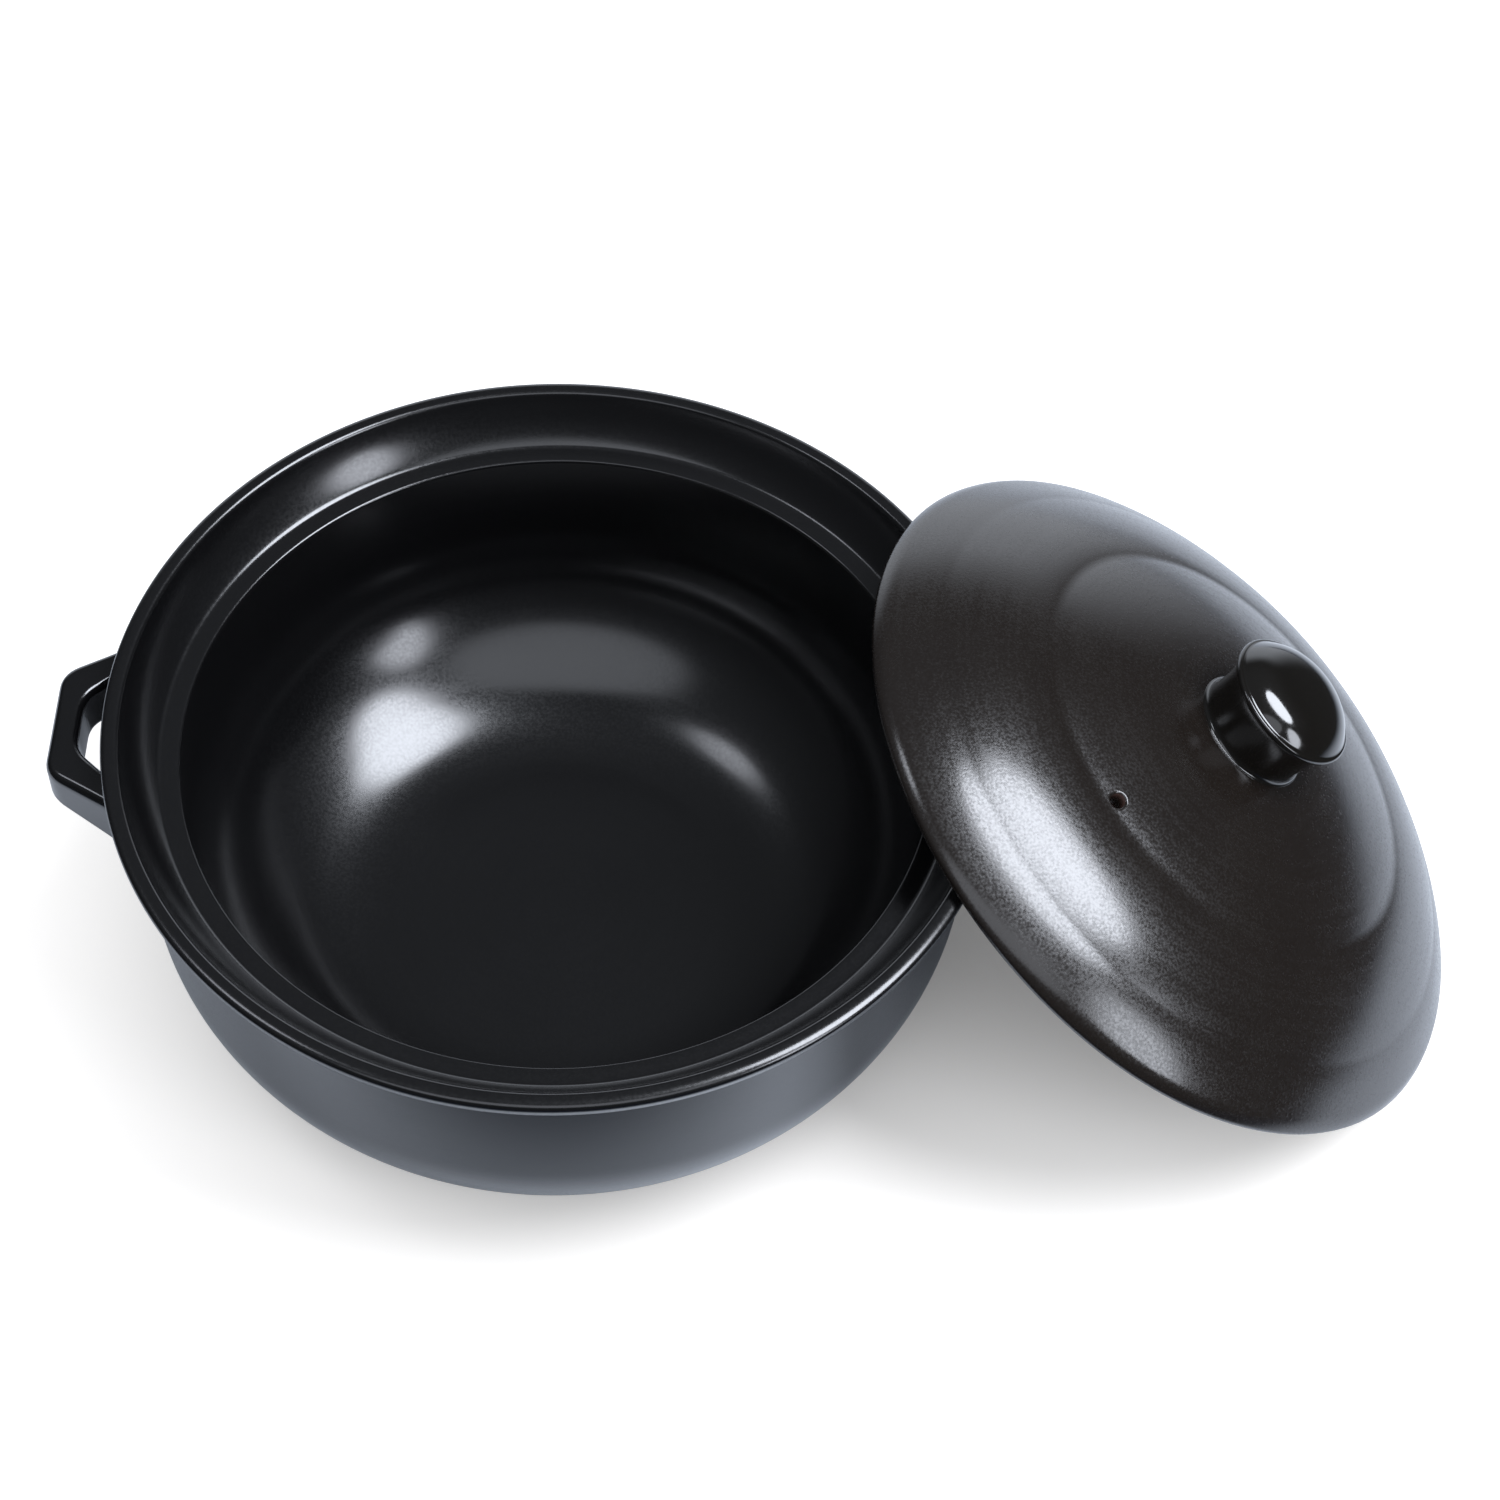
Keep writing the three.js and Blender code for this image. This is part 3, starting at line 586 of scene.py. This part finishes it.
# Light: a long soft box above the right-hand side, a low one at the front right, a wide weak one above the
# front and a small one high on the left, all oval, in a dim room with a bright backdrop behind. The numbers
# are bearing from +Y towards +X, height, slant, width and height of the oval in degrees, and brightness,
# where 1 is white.
SOFT_BOXES = {"soft_box_long": (91, 62.5, 49, 42, 24, 12), "soft_box_low": (130, 30, 82, 27, 15, 6.2),
              "soft_box_front": (185, 58, 0, 56, 30, 1.0), "soft_box_left": (-80, 60, 0, 14, 14, 3.7)}
LIGHT_AIM = np.array([0.12, 0.0, 0.08])  # in metres, as the distance
LIGHT_DISTANCE = 2.6
LIGHT_COLOUR = "#f0f5ff"
ROOM_MIRRORED = "#eaf0fa"
ROOM_DIM = 0.05  # strengths of the room all round, overhead, and for surfaces that don't mirror it
ROOM_CEILING = 0.08
ROOM_AMBIENT = 0.4
BACKDROP = 1.27
CEILING_RISE = (0.3, 0.9)  # height, as the sine of its angle, over which the ceiling grows to full strength
BACKDROP_SIDES = (0.7, 0.95)  # the same along Y for the backdrop's sides
BACKDROP_TOP = (0.25, 0.55)  # and in height for its top, where it fades

for name, (bearing, height, slant, wide, tall, bright) in SOFT_BOXES.items():
    bearing, height, slant = np.radians([bearing, height, slant])
    away = np.array([np.sin(bearing) * np.cos(height), np.cos(bearing) * np.cos(height), np.sin(height)])
    side = np.array([-np.cos(bearing), np.sin(bearing), 0])
    side = np.cos(slant) * side + np.sin(slant) * np.cross(away, side)
    lamp = bpy.data.lights.new(name, "AREA")
    lamp.shape = "ELLIPSE"
    lamp.size, lamp.size_y = (2 * LIGHT_DISTANCE * np.tan(np.radians([wide, tall]) / 2)).tolist()
    lamp.energy = bright * np.pi * np.pi / 4 * lamp.size * lamp.size_y
    lamp.color = linear(LIGHT_COLOUR)[:3]
    stand = bpy.data.objects.new(name, lamp)
    place = np.eye(4)
    place[:3, :4] = np.stack([side, np.cross(away, side), away, LIGHT_AIM + LIGHT_DISTANCE * away], 1)
    stand.matrix_world = Matrix(place.tolist())
    bpy.context.scene.collection.objects.link(stand)

world = bpy.data.worlds.new("studio")
world.use_nodes = True
tree = world.node_tree
tree.nodes.clear()
where = add(tree, "ShaderNodeTexCoord", {}, {})
split = add(tree, "ShaderNodeSeparateXYZ", {}, {0: where.outputs["Generated"]})
ceiling = add(tree, "ShaderNodeMapRange", {"interpolation_type": "SMOOTHSTEP"},
              {"Value": split.outputs["Z"], "From Min": CEILING_RISE[0], "From Max": CEILING_RISE[1],
               "To Min": 0.0, "To Max": ROOM_CEILING})
behind = add(tree, "ShaderNodeMapRange", {"interpolation_type": "SMOOTHSTEP"},
             {"Value": split.outputs["Y"], "From Min": BACKDROP_SIDES[0], "From Max": BACKDROP_SIDES[1],
              "To Min": 0.0, "To Max": BACKDROP})
low = add(tree, "ShaderNodeMapRange", {"interpolation_type": "SMOOTHSTEP"},
          {"Value": split.outputs["Z"], "From Min": BACKDROP_TOP[0], "From Max": BACKDROP_TOP[1],
           "To Min": 1.0, "To Max": 0.0})
backdrop = add(tree, "ShaderNodeMath", {"operation": "MULTIPLY"}, {0: behind.outputs[0], 1: low.outputs[0]})
room = add(tree, "ShaderNodeMath", {"operation": "ADD"}, {0: ceiling.outputs[0], 1: backdrop.outputs[0]})
room = add(tree, "ShaderNodeMath", {"operation": "ADD"}, {0: room.outputs[0], 1: ROOM_DIM})
rays = add(tree, "ShaderNodeLightPath", {}, {})
dim = add(tree, "ShaderNodeBackground", {}, {"Color": linear(ROOM_MIRRORED), "Strength": room.outputs[0]})
ambient = add(tree, "ShaderNodeBackground", {}, {"Color": linear(LIGHT_COLOUR), "Strength": ROOM_AMBIENT})
lit = add(tree, "ShaderNodeMixShader", {},
          {0: rays.outputs["Is Glossy Ray"], 1: ambient.outputs[0], 2: dim.outputs[0]})
white = add(tree, "ShaderNodeBackground", {}, {"Color": linear("#ffffff"), "Strength": 1.0})
shown = add(tree, "ShaderNodeMixShader", {},
            {0: rays.outputs["Is Camera Ray"], 1: lit.outputs[0], 2: white.outputs[0]})
add(tree, "ShaderNodeOutputWorld", {}, {"Surface": shown.outputs[0]})
world.cycles.sampling_method = "NONE"
bpy.context.scene.world = world

# Camera: at the photograph's place, above the front and rolled a little, as the circles of the pot's rim
# show. It looks past the middle of the rim, at this distance from it and with the middle this far to the
# side and above.
VIEW_TURN = -2.8
VIEW_HEIGHT = 53.599
VIEW_ROLL = 3.762
VIEW_DISTANCE = 852.566
VIEW_ASIDE = (-56.487, 11.338)
SENSOR = 36.0
FOCAL_PIXELS = 2900.0
PHOTO_PIXELS = 1500.0

turn, height, roll = np.radians([VIEW_TURN, VIEW_HEIGHT, VIEW_ROLL])
back = np.array([np.sin(turn) * np.cos(height), -np.cos(turn) * np.cos(height), np.sin(height)])
level = np.array([np.cos(turn), np.sin(turn), 0])
right = np.cos(roll) * level + np.sin(roll) * np.cross(back, level)
above = np.cross(back, right)
eye = np.array([0, 0, POT_HEIGHT]) - VIEW_ASIDE[0] * right - VIEW_ASIDE[1] * above + VIEW_DISTANCE * back
lens = bpy.data.cameras.new("view")
lens.sensor_width = SENSOR
lens.lens = SENSOR * FOCAL_PIXELS / PHOTO_PIXELS
lens.clip_start = 0.01
view = bpy.data.objects.new("view", lens)
matrix = np.eye(4)
matrix[:3, :4] = np.stack([right, above, back, eye / 1000], 1)
view.matrix_world = Matrix(matrix.tolist())
bpy.context.scene.collection.objects.link(view)
bpy.context.scene.camera = view
bpy.context.scene.view_settings.view_transform = "Standard"
